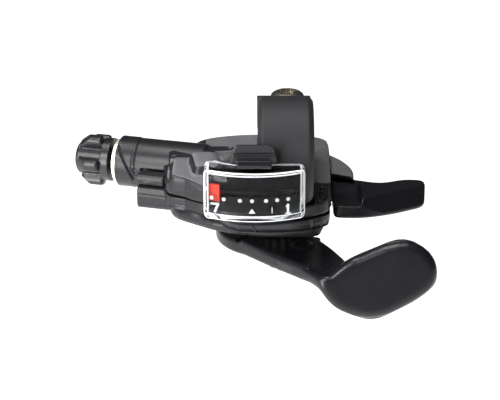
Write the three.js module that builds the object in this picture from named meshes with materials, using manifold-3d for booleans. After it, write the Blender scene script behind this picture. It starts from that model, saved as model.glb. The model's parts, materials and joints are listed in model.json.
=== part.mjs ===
// Thumb shifter for a 22.2 mm handlebar, right-hand side, seven gears. Millimetres.
// Origin: on the handlebar axis, at the middle of the clamp's width.
// +X runs along the bar towards the grip, +Y points away from the rider, +Z is up.
import * as THREE from 'three';
import { mergeVertices } from 'three/addons/utils/BufferGeometryUtils.js';
import Module from 'manifold-3d';

const wasm = await Module();
wasm.setup();

// ---- driving dimensions -------------------------------------------------------------
const GAP = 0.3;                    // clearance between pieces that touch
const ROUND = 32;                   // sides of a large round piece
const SMALL_ROUND = 16;             // sides of a small round piece
const FAR = 80;                     // further out than any piece reaches

const BAR_R = 11.1;
const CLAMP = { inner: BAR_R + 0.2, outer: 14, half: 7.2, earFar: 23, earTop: 7.6, earLow: -10.2 };
const CLAMP_ROOM = 0.4;             // between the clamp and the body under it
const CLAMP_GAP = { low: -5, high: 1.7 };
const BOLT = {
  x: 0.9, y: 18, shaft: 2.45, head: 4.6, headHeight: 2.2, end: -13.2, socket: 2.5, socketDepth: 1.6,
};
const NUT = { flat: 4, low: -13.5, high: -10.9 };

const AXLE = { x: -2.4, y: 20, r: 3.1 };
const POD_R = 21.7;
const POD_WALL = 1.6;
const DISC_TOP = -14.2;             // top of the round cover
const BOSS_TOP = -10.5;             // top of the raised part behind the bar
const PARTING = -16.5;              // where the cover meets the lower housing
const RIDGE = -20;                  // below this the lower housing steps inwards
const POD_LOW = -24.5;
const FLOOR = 1.5;

const TUBE = { x: -22.95, y: 25.6, z: -15, yaw: 15.56, r: 6.9, start: -2 };
const SOCKET_LENGTH = 5.6;
const RING = { inner: 4.1, outer: 6, thick: 0.9 };
const KNOB = { core: 5.1, length: 7.8, collar: 6.1, collarLength: 2.4 };
const RIB = { count: 5, top: 7.1, width: 3.4, length: 6.8, first: 54 };   // fins for the fingers, on the knob
const CABLE_WAY = { bore: 2.6, stem: 3.3, stemStart: 8 };   // through the barrel adjuster
const SOCKET_START = 17.2;          // along the tube's axis from the point in TUBE
const KNOB_START = 25.2;

const GAUGE = { x: -8, y: 3.5, sweep: 50 };   // centre of the curved dial, and the pointer's travel
const LENS = { outer: 25.5, back: 18.6, halfWidth: 12.75, low: -11.4, high: 1.6, wall: 1 };
const DIAL = { inner: 21.6, outer: 22.4, halfWidth: 11.4, low: -10.1, high: 0.3 };
const POINTER = { low: -7.2, high: -2.8, slotLow: -5.9, slotHigh: -4.5, half: 3.6, tabHalf: 1.2 };
const HOOD = { back: 16.8, front: 19.9, halfWidth: 8.5, foot: -12.9, top: 4 };   // frame behind the lens

const LEVER = { low: -33, high: -29, hub: 16.2, flatSide: 10.4 };
const PADDLE = { y: -14.5, thick: 4.6, tilt: 12, z: -30 };
const STOP_PIN = { x: -2, y: 0.2, r: 1.4, top: LEVER.high - 2.2 };
const PAWL_PIN = { out: 13.8, turn: 120, r: 1.1 };   // distance from the axle, and degrees round it
const RELEASE = { low: -21.4, high: -15.9, x: 12, y: 29, pin: 1.5 };
const HOLD_PAWL = { x: -16.5, y: 10, pin: 1.1, low: -22.7, high: -21.3 };
const SPOOL = { groove: 8.5, flange: 10.5, teeth: 12, tooth: 1, count: 30 };
const SPOOL_Z = { top: -16.7, flange: -17.9, groove: -21.4, index: -22.8, low: -28.3 };
const SPRING_SEAT = { above: 7.4, aboveLow: -19.7, below: 7.6, belowHigh: -24.4 };   // pockets in the spool

const COLOURS = {
  shell: [0x2b2b2e, 0.55, 0],
  gloss: [0x1d1d20, 0.3, 0],
  steel: [0xb9b4a6, 0.3, 0.9],
  spring: [0x8d8f94, 0.35, 0.9],
  brass: [0xc9bfa4, 0.35, 0.8],
  clear: [0xe8eef2, 0.05, 0],
  dial: [0x0b0b0c, 0.5, 0],
  pointer: [0xe0422a, 0.45, 0],
  nylon: [0x6f7176, 0.5, 0],
};

// ---- shape helpers ------------------------------------------------------------------
// A closed geometry becomes a solid once its shared corners are merged.
function solid(geometry) {
  const bare = geometry.clone();
  bare.deleteAttribute('normal');
  bare.deleteAttribute('uv');
  const merged = mergeVertices(bare, 1e-4);
  const corners = merged.index.array;
  const kept = [];
  for (let i = 0; i < corners.length; i += 3) {
    const [a, b, c] = [corners[i], corners[i + 1], corners[i + 2]];
    if (a !== b && b !== c && a !== c) kept.push(a, b, c);
  }
  return new wasm.Manifold(new wasm.Mesh({
    numProp: 3,
    vertProperties: new Float32Array(merged.attributes.position.array),
    triVerts: new Uint32Array(kept),
  }));
}

function join(...solids) {
  return solids.reduce((whole, piece) => whole.add(piece));
}

function cut(whole, ...tools) {
  return tools.reduce((rest, tool) => rest.subtract(tool), whole);
}

const radians = THREE.MathUtils.degToRad;

// A point in plan, at a distance from the axle and an angle round it.
function fromAxle(out, turn) {
  return [AXLE.x + out * Math.cos(radians(turn)), AXLE.y + out * Math.sin(radians(turn))];
}

// An outline of [x, y, corner radius] points, with each corner rounded by a curve.
function outline(corners) {
  const shape = new THREE.Shape();
  corners.forEach(([x, y, r = 0], i) => {
    const here = new THREE.Vector2(x, y);
    const before = new THREE.Vector2(...corners.at(i - 1).slice(0, 2));
    const after = new THREE.Vector2(...corners[(i + 1) % corners.length].slice(0, 2));
    const start = here.clone().add(before.sub(here).setLength(r));
    const end = here.clone().add(after.sub(here).setLength(r));
    if (i === 0) shape.moveTo(start.x, start.y);
    else shape.lineTo(start.x, start.y);
    if (r > 0) shape.quadraticCurveTo(x, y, end.x, end.y);
  });
  shape.closePath();
  return shape;
}

// A shape in plan, standing between two heights, with a rounded rim if bevel is given.
function prism(shape, low, high, bevel = 0) {
  const geometry = new THREE.ExtrudeGeometry(shape, {
    depth: high - low - 2 * bevel,
    curveSegments: 4,
    bevelEnabled: bevel > 0,
    bevelThickness: bevel,
    bevelSize: bevel,
    bevelOffset: -bevel,
    bevelSegments: 2,
  });
  geometry.translate(0, 0, low + bevel);
  return geometry;
}

function box(x0, x1, y0, y1, z0, z1) {
  const geometry = new THREE.BoxGeometry(x1 - x0, y1 - y0, z1 - z0);
  geometry.translate((x0 + x1) / 2, (y0 + y1) / 2, (z0 + z1) / 2);
  return geometry;
}

// A round post about a vertical line.
function post(x, y, r, low, high, sides = SMALL_ROUND) {
  const geometry = new THREE.CylinderGeometry(r, r, high - low, sides);
  geometry.rotateX(Math.PI / 2);
  geometry.translate(x, y, (low + high) / 2);
  return geometry;
}

function ring(x, y, inner, outer, low, high, sides = ROUND) {
  return cut(solid(post(x, y, outer, low, high, sides)), throughHole(x, y, inner, sides));
}

// A round bar along the handlebar's axis.
function barLike(r, half, sides = ROUND) {
  const geometry = new THREE.CylinderGeometry(r, r, 2 * half, sides);
  geometry.rotateZ(Math.PI / 2);
  return geometry;
}

// Anything modelled along +Z moves onto the cable tube's axis, pointing out of the tube.
function ontoTube(geometry, along = 0) {
  geometry.translate(0, 0, along);
  geometry.rotateY(-Math.PI / 2);
  geometry.rotateZ(-radians(TUBE.yaw));
  geometry.translate(TUBE.x, TUBE.y, TUBE.z);
  return geometry;
}

function tubeRod(r, from, to, sides = ROUND) {
  return ontoTube(post(0, 0, r, from, to, sides));
}

// A finely curved shape in plan, standing between two heights.
function standing(shape, low, high) {
  const depth = high - low;
  const geometry = new THREE.ExtrudeGeometry(shape, { depth, curveSegments: 12, bevelEnabled: false });
  geometry.translate(0, 0, low);
  return geometry;
}

// A slice of a ring about the gauge's centre, open to the rider's side.
function sector(inner, outer, fromDegrees, toDegrees, low, high) {
  const from = radians(fromDegrees - 90);
  const to = radians(toDegrees - 90);
  const shape = new THREE.Shape();
  shape.absarc(GAUGE.x, GAUGE.y, outer, from, to, false);
  shape.absarc(GAUGE.x, GAUGE.y, inner, to, from, true);
  shape.closePath();
  return standing(shape, low, high);
}

// A curved slab about the gauge's centre, with straight parallel ends.
function curvedSlab(inner, outer, halfWidth, low, high) {
  const innerTurn = Math.asin(halfWidth / inner);
  const outerTurn = Math.asin(halfWidth / outer);
  const front = -Math.PI / 2;
  const shape = new THREE.Shape();
  shape.absarc(GAUGE.x, GAUGE.y, outer, front - outerTurn, front + outerTurn, false);
  shape.absarc(GAUGE.x, GAUGE.y, inner, front + innerTurn, front - innerTurn, true);
  shape.closePath();
  return standing(shape, low, high);
}

// A disc in plan with saw teeth, used by the spool's ratchets.
function toothed(r, depth, count, low, high) {
  const shape = new THREE.Shape();
  for (let i = 0; i < count; i += 1) {
    const root = (i * 2 * Math.PI) / count;
    const tip = ((i + 0.8) * 2 * Math.PI) / count;
    const inner = r - depth;
    const start = [AXLE.x + inner * Math.cos(root), AXLE.y + inner * Math.sin(root)];
    if (i === 0) shape.moveTo(...start);
    else shape.lineTo(...start);
    shape.lineTo(AXLE.x + r * Math.cos(tip), AXLE.y + r * Math.sin(tip));
  }
  shape.closePath();
  return prism(shape, low, high);
}

function hexagon(x, y, flat) {
  const corner = flat / Math.cos(Math.PI / 6);
  const points = [];
  for (let i = 0; i < 6; i += 1) {
    const turn = (i * Math.PI) / 3;
    points.push([x + corner * Math.cos(turn), y + corner * Math.sin(turn)]);
  }
  return outline(points);
}

// Room for the bar, and for the wider clamp round it.
function barRoom() {
  const besideClamp = BAR_R + 1.1;
  const roundClamp = barLike(CLAMP.outer + CLAMP_ROOM, CLAMP.half + CLAMP_ROOM);
  return join(solid(barLike(besideClamp, FAR)), solid(roundClamp));
}

// A hole down the whole height, for a post or screw to pass through.
function throughHole(x, y, r, sides = 12) {
  return solid(post(x, y, r, -FAR, FAR, sides));
}

// ---- clamp --------------------------------------------------------------------------
function clampBand() {
  const { inner, outer, half, earFar, earTop, earLow } = CLAMP;
  const ears = outline([[8, earLow, 0], [earFar, earLow, 2], [earFar, earTop, 2], [8, earTop, 0]]);
  const earBlock = prism(ears, -half, half);
  earBlock.rotateZ(Math.PI / 2);
  earBlock.rotateY(Math.PI / 2);
  return cut(
    join(solid(barLike(outer, half, 48)), solid(earBlock)),
    solid(barLike(inner, half + 1, 48)),
    solid(box(-half - 1, half + 1, 5, earFar + 1, CLAMP_GAP.low, CLAMP_GAP.high)),
    throughHole(BOLT.x, BOLT.y, BOLT.shaft + GAP, SMALL_ROUND),
  );
}

function clampBolt() {
  const top = CLAMP.earTop + GAP + BOLT.headHeight;
  const seat = CLAMP.earTop + GAP;
  const profile = [
    [0, BOLT.end], [BOLT.shaft, BOLT.end], [BOLT.shaft, seat], [BOLT.head, seat],
    [BOLT.head, seat + 1], [BOLT.head - 1.3, top], [0, top],
  ].map(([r, z]) => new THREE.Vector2(r, z));
  const body = new THREE.LatheGeometry(profile, 24);
  body.rotateX(Math.PI / 2);
  body.translate(BOLT.x, BOLT.y, 0);
  return cut(solid(body), solid(prism(hexagon(BOLT.x, BOLT.y, BOLT.socket), top - BOLT.socketDepth, FAR)));
}

function clampNut() {
  return cut(
    solid(prism(hexagon(BOLT.x, BOLT.y, NUT.flat), NUT.low, NUT.high)),
    throughHole(BOLT.x, BOLT.y, BOLT.shaft + GAP, SMALL_ROUND),
  );
}

// ---- housing ------------------------------------------------------------------------
// Plan of the body under the bar, from the grip side round to the cable side.
const BODY_PLAN = [
  [12, -3.5, 3], [6, -7.5, 4], [-8, -9.2, 8], [-21.5, -5.5, 5], [-31.5, 8, 4], [-33, 24, 0],
  [-20, 31, 0], [-2.4, 28, 0], [12, 22, 0],
];
const LOWER_PLAN = [
  [10, -1.5, 3], [-3, -2.2, 8], [-17, 1.2, 5], [-30.5, 11.5, 4], [-32, 24, 0], [-20, 31, 0],
  [-2.4, 28, 0], [10, 22, 0],
];
// Plan of the raised part behind the bar, which holds the clamp's nut.
const BOSS_PLAN = [
  [13, 8, 0], [13, 38.5, 4], [4, 41.5, 5], [-12, 42, 7], [-24.5, 37.5, 6], [-27, 24, 0], [-24, 8, 0],
];
const SCREWS = [[7, 2], [-22.5, 9.5], [-28, 17.5]];
const SCREW = { r: 1.15, head: 2.2, headDepth: 1.4, end: -14.8 };

// The cover slopes down from the cable tube to the side wall next to the gauge.
function fairing() {
  const profile = outline([
    [33.5, PARTING, 0], [33.5, -12, 3], [27, -8.4, 4], [20, -9.6, 3], [13.5, -13.4, 1.5], [9, PARTING, 0],
  ]);
  const slab = prism(profile, -31, -14);
  slab.rotateZ(Math.PI / 2);
  slab.rotateY(Math.PI / 2);
  return solid(slab);
}

// The release lever comes out through an open side of the pod.
function releaseRoom() {
  return solid(box(12.6, FAR, -FAR, 24.2, -FAR, 0));
}

function screwHoles(extra) {
  return SCREWS.map(([x, y]) => solid(post(x, y, SCREW.r + extra, POD_LOW - 1, SCREW.end + GAP, 12)));
}

function upperCover() {
  const outside = join(
    solid(prism(discShape(POD_R), PARTING, DISC_TOP, 0.9)),
    solid(prism(outline(BOSS_PLAN), PARTING, BOSS_TOP, 1.2)),
    solid(prism(outline(BODY_PLAN), PARTING, -12.6, 0.8)),
    fairing(),
    solid(tubeRod(TUBE.r, TUBE.start, SOCKET_START - GAP)),
  );
  const hollow = join(
    solid(post(AXLE.x, AXLE.y, POD_R - POD_WALL, PARTING - 9, PARTING + 0.8, ROUND)),
    solid(tubeRod(CABLE_WAY.stem + GAP, -6, FAR, SMALL_ROUND)),
    solid(prism(hexagon(BOLT.x, BOLT.y, NUT.flat + GAP), NUT.low - GAP, 0)),
    solid(box(-FAR, -10, -FAR, FAR, -FAR, PARTING)),
  );
  const body = cut(outside, barRoom(), hollow, releaseRoom(), ...screwHoles(0.1));
  return cut(body, solid(tubeHatchRoom()), solid(gaugeRoom()));
}

function discShape(r) {
  const shape = new THREE.Shape();
  for (let i = 0; i < 48; i += 1) {
    const turn = (i * Math.PI) / 24;
    const place = [AXLE.x + r * Math.cos(turn), AXLE.y + r * Math.sin(turn)];
    if (i === 0) shape.moveTo(...place);
    else shape.lineTo(...place);
  }
  shape.closePath();
  return shape;
}

function gaugeRoom() {
  return curvedSlab(LENS.back - 4, LENS.outer + 2, LENS.halfWidth + 0.65, HOOD.foot - GAP, 8);
}

function lowerHousing() {
  const outside = join(
    solid(prism(outline(BODY_PLAN), RIDGE, PARTING - GAP)),
    solid(prism(outline(LOWER_PLAN), POD_LOW, RIDGE + 1, 1.2)),
    solid(prism(discShape(POD_R), POD_LOW, PARTING - GAP, 1)),
  );
  const hatchBase = solid(tubeBlock(HATCH.from - 3, HATCH.to, HATCH.near, 0, HATCH.base, HATCH.low - GAP, 2));
  // The grip-side corner is sliced off at a slant; this outline runs across and downwards.
  const slant = prism(outline([[12.5, 17.4, 0], [9.6, 25.5, 0], [14, 25.5, 0], [14, 17.4, 0]]), -8, 20);
  slant.rotateX(-Math.PI / 2);
  const inside = join(
    solid(slant),
    solid(post(AXLE.x, AXLE.y, POD_R - POD_WALL, POD_LOW + FLOOR, 0, ROUND)),
    throughHole(AXLE.x, AXLE.y, SPOOL.teeth - 1, ROUND),
    solid(tubeRod(TUBE.r + GAP, -8, FAR)),
  );
  const screwRoom = SCREWS.map(([x, y]) => (
    solid(post(x, y, SCREW.head + GAP, POD_LOW - 1, POD_LOW + SCREW.headDepth, 12))
  ));
  const body = cut(join(outside, hatchBase), inside, releaseRoom(), ...screwRoom);
  return cut(body, ...screwHoles(GAP), solid(tubeHatchRoom()));
}

function housingScrew([x, y]) {
  return join(
    solid(post(x, y, SCREW.head, POD_LOW + 0.1, POD_LOW + SCREW.headDepth - GAP, 12)),
    solid(post(x, y, SCREW.r - GAP, POD_LOW + 0.2, SCREW.end, 12)),
  );
}

// ---- cable entry --------------------------------------------------------------------
const HATCH = { from: 7.2, to: 14.8, near: -11.2, far: -5.5, low: -2.4, high: 0.6, base: -9.4 };

// The block on the rider's side of the tube, in the tube's own directions.
function tubeBlock(from, to, near, far, low, high, corner) {
  const shape = outline([[low, far, 0], [high, far, 0], [high, near, corner], [low, near, corner]]);
  return ontoTube(prism(shape, from, to));
}

function tubeHatchRoom() {
  const { from, to, near, far, low, high } = HATCH;
  return tubeBlock(from - GAP, to + GAP, near - GAP, far, low - GAP, high + GAP, 0);
}

function cableHatch() {
  const block = solid(tubeBlock(HATCH.from, HATCH.to, HATCH.near, HATCH.far, HATCH.low, HATCH.high, 1.3));
  return cut(block, solid(tubeRod(TUBE.r + GAP, 0, FAR)));
}

function adjusterSocket() {
  return cut(
    solid(tubeRod(TUBE.r + 0.2, SOCKET_START, SOCKET_START + SOCKET_LENGTH)),
    solid(tubeRod(CABLE_WAY.stem + GAP, 0, FAR, SMALL_ROUND)),
  );
}

function adjusterRing() {
  const from = SOCKET_START + SOCKET_LENGTH + GAP;
  return cut(
    solid(tubeRod(RING.outer, from, from + RING.thick)),
    solid(tubeRod(RING.inner, 0, FAR)),
  );
}

function knobRib(number) {
  const section = outline([
    [KNOB.core - 1, -RIB.width / 2, 0], [RIB.top, -RIB.width / 2, 1.3],
    [RIB.top, RIB.width / 2, 1.3], [KNOB.core - 1, RIB.width / 2, 0],
  ]);
  const start = KNOB_START + KNOB.collarLength - 0.2;
  const rib = prism(section, start, start + RIB.length, 0.8);
  rib.rotateZ(radians(RIB.first + (number * 360) / RIB.count));
  return solid(ontoTube(rib));
}

function barrelAdjuster() {
  const gripStart = KNOB_START + KNOB.collarLength;
  const end = gripStart + KNOB.length;
  const profile = [
    [0, KNOB_START + 0.1], [KNOB.core, KNOB_START + 0.1], [KNOB.core, end - 1.4],
    [KNOB.core - 0.3, end - 0.6], [KNOB.core - 0.9, end], [0, end],
  ].map(([r, z]) => new THREE.Vector2(r, z));
  const core = new THREE.LatheGeometry(profile, ROUND);
  core.rotateX(Math.PI / 2);
  const ribs = [];
  for (let i = 0; i < RIB.count; i += 1) ribs.push(knobRib(i));
  return cut(
    join(
      solid(ontoTube(core)),
      ...ribs,
      solid(tubeRod(KNOB.collar, KNOB_START, gripStart)),
      solid(tubeRod(CABLE_WAY.stem, CABLE_WAY.stemStart, KNOB_START + 1, SMALL_ROUND)),
    ),
    solid(tubeRod(CABLE_WAY.bore, 0, FAR, SMALL_ROUND)),
  );
}

// ---- gear display -------------------------------------------------------------------
function gaugeHousing() {
  const { back, front, halfWidth, foot, top } = HOOD;
  const inLens = LENS.low + LENS.wall + GAP;
  return cut(
    join(
      solid(curvedSlab(back, front, halfWidth, inLens, DIAL.high)),
      solid(curvedSlab(back, LENS.back - GAP, LENS.halfWidth - 0.25, foot, top)),
    ),
    barRoom(),
  );
}

function gaugeDial() {
  const slotHalf = GAUGE.sweep / 2 + 2.5;
  return cut(
    solid(curvedSlab(DIAL.inner, DIAL.outer, DIAL.halfWidth, DIAL.low, DIAL.high)),
    solid(sector(DIAL.inner - 1, DIAL.outer + 1, -slotHalf, slotHalf, POINTER.slotLow, POINTER.slotHigh)),
  );
}

// A blade in front of the dial, a tab through the dial's slot and a shoe behind it.
function gaugePointer() {
  const { low, high, slotLow, slotHigh, half, tabHalf } = POINTER;
  const middle = -GAUGE.sweep / 2 - 0.6;
  return join(
    solid(sector(22.8, 23.5, middle - half, middle + half, low, high)),
    solid(sector(21, 23, middle - tabHalf, middle + tabHalf, slotLow + GAP, slotHigh - GAP)),
    solid(sector(20.3, 21.2, middle - tabHalf * 2, middle + tabHalf * 2, low, high)),
  );
}

function gaugeLens() {
  const { outer, back, halfWidth, low, high, wall } = LENS;
  return cut(
    solid(curvedSlab(back, outer, halfWidth, low, high)),
    solid(curvedSlab(back - 1, outer - wall, halfWidth - wall, low + wall, high - wall)),
    barRoom(),
  );
}

function lensLatch() {
  const face = outline([[-14, 1.9], [-2.1, 1.9], [-3.2, 6.9, 0.8], [-12.9, 6.9, 0.8]]);
  const plate = prism(face, 15.1, 16.2);
  plate.rotateX(Math.PI / 2);
  return join(solid(plate), solid(box(-12.4, -3.7, -19.4, -15.6, 1.9, 2.7)));
}

// ---- pieces round the main axle -----------------------------------------------------
function mainAxle() {
  return join(
    solid(post(AXLE.x, AXLE.y, AXLE.r, -37.5, -15.9, SMALL_ROUND)),
    solid(post(AXLE.x, AXLE.y, AXLE.r + 1.5, -16.3, -15.95, SMALL_ROUND)),
  );
}

function axleNut() {
  const low = LEVER.low - 4;
  return cut(
    solid(prism(hexagon(AXLE.x, AXLE.y, 4.8), low, LEVER.low - 1.1)),
    throughHole(AXLE.x, AXLE.y, AXLE.r + GAP, SMALL_ROUND),
  );
}

function axleWasher() {
  return ring(AXLE.x, AXLE.y, AXLE.r + GAP, 6.4, LEVER.low - 0.85, LEVER.low - GAP, 24);
}

function cableSpool() {
  const { x, y } = AXLE;
  const body = join(
    solid(post(x, y, SPOOL.flange, SPOOL_Z.flange, SPOOL_Z.top, ROUND)),
    solid(post(x, y, SPOOL.groove, SPOOL_Z.groove, SPOOL_Z.flange + 0.1, ROUND)),
    solid(toothed(SPOOL.teeth, SPOOL.tooth, SPOOL.count, SPOOL_Z.index, SPOOL_Z.groove + 0.1)),
    solid(toothed(SPOOL.flange, SPOOL.tooth, SPOOL.count, SPOOL_Z.low, SPOOL_Z.index + 0.1)),
  );
  const cableNippleSeat = box(x - 8.5, x - 5.6, y - 8.5, y - 5.5, -21, -18.2);
  return cut(
    body,
    throughHole(x, y, AXLE.r + GAP, 24),
    solid(post(x, y, SPRING_SEAT.above, SPRING_SEAT.aboveLow, FAR, 24)),
    solid(post(x, y, SPRING_SEAT.below, -FAR, SPRING_SEAT.belowHigh, 24)),
    solid(cableNippleSeat),
  );
}

// The space a wound spring fills, round the axle and inside the spool.
function axleSpring(seat, low, high) {
  return ring(AXLE.x, AXLE.y, AXLE.r + 1, seat - 0.4, low, high, 24);
}

// ---- levers -------------------------------------------------------------------------
const ARM_PLAN = [
  [-15.2, 11, 2], [-4, -1.5, 3], [5, -10.5, 4], [9, -17, 2], [16.5, -17, 3], [17, -7, 4],
  [12.5, 4, 4], [8, 11.5, 3], [7, 20, 2], [2, 31, 0],
];
// The paddle's outline, across and up, about its own middle.
const PADDLE_PLAN = [
  [-16, -2, 1.5], [-9, 4.5, 3], [7, 11.2, 5], [15, 5.5, 4], [15.2, -1.5, 2.5], [10, -6, 3],
  [-1.5, -11.8, 4], [-12, -8, 3.5],
];
const PADDLE_X = 24.2;

function paddle() {
  const plate = prism(outline(PADDLE_PLAN), -PADDLE.thick / 2, PADDLE.thick / 2, 1);
  plate.rotateX(Math.PI / 2);
  plate.rotateX(-radians(PADDLE.tilt));
  plate.translate(PADDLE_X, PADDLE.y, PADDLE.z);
  return solid(plate);
}

function pushLever() {
  const { low, high } = LEVER;
  const flatSide = solid(box(AXLE.x + LEVER.flatSide, FAR, AXLE.y - 10, FAR, -FAR, FAR));
  return cut(
    join(
      cut(solid(prism(discShape(LEVER.hub), low, high, 0.8)), flatSide),
      solid(prism(outline(ARM_PLAN), low, high, 0.8)),
      paddle(),
    ),
    throughHole(AXLE.x, AXLE.y, AXLE.r + GAP, 24),
    solid(post(STOP_PIN.x, STOP_PIN.y, STOP_PIN.r + GAP, -FAR, STOP_PIN.top + GAP, 12)),
    throughHole(...fromAxle(PAWL_PIN.out, PAWL_PIN.turn), PAWL_PIN.r + GAP),
  );
}

function leverStopPin() {
  return join(
    solid(post(STOP_PIN.x, STOP_PIN.y, STOP_PIN.r, LEVER.low - 1.5, STOP_PIN.top, 12)),
    solid(post(STOP_PIN.x, STOP_PIN.y, STOP_PIN.r + 0.4, LEVER.low - 1.4, LEVER.low - GAP, 12)),
  );
}

function drivePawlPin() {
  return solid(post(...fromAxle(PAWL_PIN.out, PAWL_PIN.turn), PAWL_PIN.r, LEVER.low + 0.2, -25.2, 12));
}

function drivePawl() {
  const shape = outline([
    [...fromAxle(15.9, 112), 1], [...fromAxle(15.9, 127), 1.5], [...fromAxle(12.7, 150), 0.5],
    [...fromAxle(11, 154), 0.2], [...fromAxle(11, 146), 0.5], [...fromAxle(11.6, 128), 1],
    [...fromAxle(11.6, 111), 1],
  ]);
  return cut(
    solid(prism(shape, -28.4, -26.6)),
    throughHole(...fromAxle(PAWL_PIN.out, PAWL_PIN.turn), PAWL_PIN.r + GAP),
  );
}

const RELEASE_PLAN = [
  [9.4, 31.2, 2], [9.4, 27, 2], [13.2, 22, 1], [13.2, 4.4, 2], [21, 4, 3], [29, 6.6, 4], [38.2, 12, 2.5],
  [38.9, 19.4, 2.5], [33, 20.2, 3], [26.5, 16.9, 3.5], [18.5, 20.3, 3], [14.6, 24.5, 1.5], [14.5, 31.2, 2],
];

function releaseLever() {
  return cut(
    solid(prism(outline(RELEASE_PLAN), RELEASE.low, RELEASE.high, 0.7)),
    throughHole(RELEASE.x, RELEASE.y, RELEASE.pin + GAP),
  );
}

function releasePin() {
  return solid(post(RELEASE.x, RELEASE.y, RELEASE.pin, POD_LOW + FLOOR + GAP, PARTING + 0.5, 12));
}

function releaseSpring() {
  const { x, y, pin, low } = RELEASE;
  return ring(x, y, pin + GAP, pin + 1.4, low - 1.2, low - GAP, SMALL_ROUND);
}

function holdingPawl() {
  const { x, y } = HOLD_PAWL;
  const shape = outline([
    [x - 2.2, y + 0.4, 1], [x - 0.8, y - 2.2, 1], [x + 2, y - 1.4, 1], [x + 4.6, y + 2.2, 0.2],
    [x + 3.7, y + 3.5, 0.2], [x - 0.5, y + 2.4, 1],
  ]);
  return cut(
    solid(prism(shape, HOLD_PAWL.low, HOLD_PAWL.high)),
    throughHole(x, y, HOLD_PAWL.pin + GAP),
  );
}

function holdingPawlPin() {
  return solid(post(HOLD_PAWL.x, HOLD_PAWL.y, HOLD_PAWL.pin, POD_LOW + FLOOR + GAP, PARTING + 0.5, 12));
}

// ---- assembly -----------------------------------------------------------------------
const shifter = new THREE.Group();

function add(name, body, colourName) {
  const made = body.getMesh();
  const geometry = new THREE.BufferGeometry();
  geometry.setAttribute('position', new THREE.BufferAttribute(made.vertProperties, 3));
  geometry.setIndex(new THREE.BufferAttribute(made.triVerts, 1));
  const [color, roughness, metalness] = COLOURS[colourName];
  const mesh = new THREE.Mesh(geometry, new THREE.MeshStandardMaterial({ color, roughness, metalness }));
  mesh.name = name;
  shifter.add(mesh);
}

add('clamp_band', clampBand(), 'shell');
add('clamp_bolt', clampBolt(), 'steel');
add('clamp_nut', clampNut(), 'steel');
add('upper_cover', upperCover(), 'shell');
add('lower_housing', lowerHousing(), 'shell');
SCREWS.forEach((place, i) => add(`housing_screw_${i + 1}`, housingScrew(place), 'steel'));
add('cable_hatch', cableHatch(), 'shell');
add('adjuster_socket', adjusterSocket(), 'shell');
add('adjuster_ring', adjusterRing(), 'brass');
add('barrel_adjuster', barrelAdjuster(), 'gloss');
add('gauge_housing', gaugeHousing(), 'shell');
add('gauge_dial', gaugeDial(), 'dial');
add('gauge_pointer', gaugePointer(), 'pointer');
add('gauge_lens', gaugeLens(), 'clear');
add('lens_latch', lensLatch(), 'gloss');
add('main_axle', mainAxle(), 'steel');
add('axle_washer', axleWasher(), 'steel');
add('axle_nut', axleNut(), 'steel');
add('cable_spool', cableSpool(), 'nylon');
add('spool_spring', axleSpring(SPRING_SEAT.above, SPRING_SEAT.aboveLow + GAP, -17), 'spring');
add('push_lever', pushLever(), 'gloss');
add('push_lever_spring', axleSpring(SPRING_SEAT.below, -28.2, SPRING_SEAT.belowHigh - 0.4), 'spring');
add('drive_pawl', drivePawl(), 'steel');
add('drive_pawl_pin', drivePawlPin(), 'steel');
add('lever_stop_pin', leverStopPin(), 'brass');
add('release_lever', releaseLever(), 'gloss');
add('release_lever_pin', releasePin(), 'steel');
add('release_lever_spring', releaseSpring(), 'spring');
add('holding_pawl', holdingPawl(), 'steel');
add('holding_pawl_pin', holdingPawlPin(), 'steel');

export default shifter;
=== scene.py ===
"""Thumb shifter: the visual model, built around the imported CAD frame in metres."""
import json
import math

import bmesh
import bpy
import numpy as np
from mathutils import Matrix, Vector


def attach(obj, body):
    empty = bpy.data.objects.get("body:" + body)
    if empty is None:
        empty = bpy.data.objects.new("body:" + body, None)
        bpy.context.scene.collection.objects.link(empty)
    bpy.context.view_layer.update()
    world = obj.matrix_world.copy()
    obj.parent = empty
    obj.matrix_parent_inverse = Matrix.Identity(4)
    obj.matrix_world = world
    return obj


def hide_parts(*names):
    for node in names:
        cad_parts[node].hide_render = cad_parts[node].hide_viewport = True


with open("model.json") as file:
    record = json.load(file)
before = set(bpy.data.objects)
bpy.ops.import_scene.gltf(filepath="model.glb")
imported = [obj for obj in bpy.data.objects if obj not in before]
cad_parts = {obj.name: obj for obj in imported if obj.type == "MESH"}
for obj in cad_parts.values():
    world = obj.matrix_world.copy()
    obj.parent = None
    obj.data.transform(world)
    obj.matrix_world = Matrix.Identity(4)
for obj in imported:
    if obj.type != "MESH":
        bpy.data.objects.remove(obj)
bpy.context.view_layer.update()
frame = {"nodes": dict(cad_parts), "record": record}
MM = 0.001                                # lengths below are in millimetres unless they say otherwise
scene = bpy.context.scene
record = frame["record"]
SLOT_OF = {part["node"]: part["material_slot"] for part in record["subparts"]}
BODY_OF = {node: body for body, nodes in record["behaviour"]["bodies"].items() for node in nodes}


# ---- camera -------------------------------------------------------------------------
CAMERA_ELEVATION = math.radians(22)
CAMERA_DISTANCE = 450 * MM
CAMERA_LENS = 123.1
CAMERA_SENSOR = 36
TARGET = Vector((-9.1, 0, -14.19)) * MM   # the camera and the lamps look here

camera = bpy.data.objects.new("camera", bpy.data.cameras.new("camera"))
scene.collection.objects.link(camera)
camera.data.lens = CAMERA_LENS
camera.data.sensor_width = CAMERA_SENSOR
camera.data.clip_start = 0.01
back = Vector((0, -math.cos(CAMERA_ELEVATION), math.sin(CAMERA_ELEVATION)))
camera.location = TARGET + back * CAMERA_DISTANCE
camera.rotation_euler = (math.pi / 2 - CAMERA_ELEVATION, 0, 0)
scene.camera = camera


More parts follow.
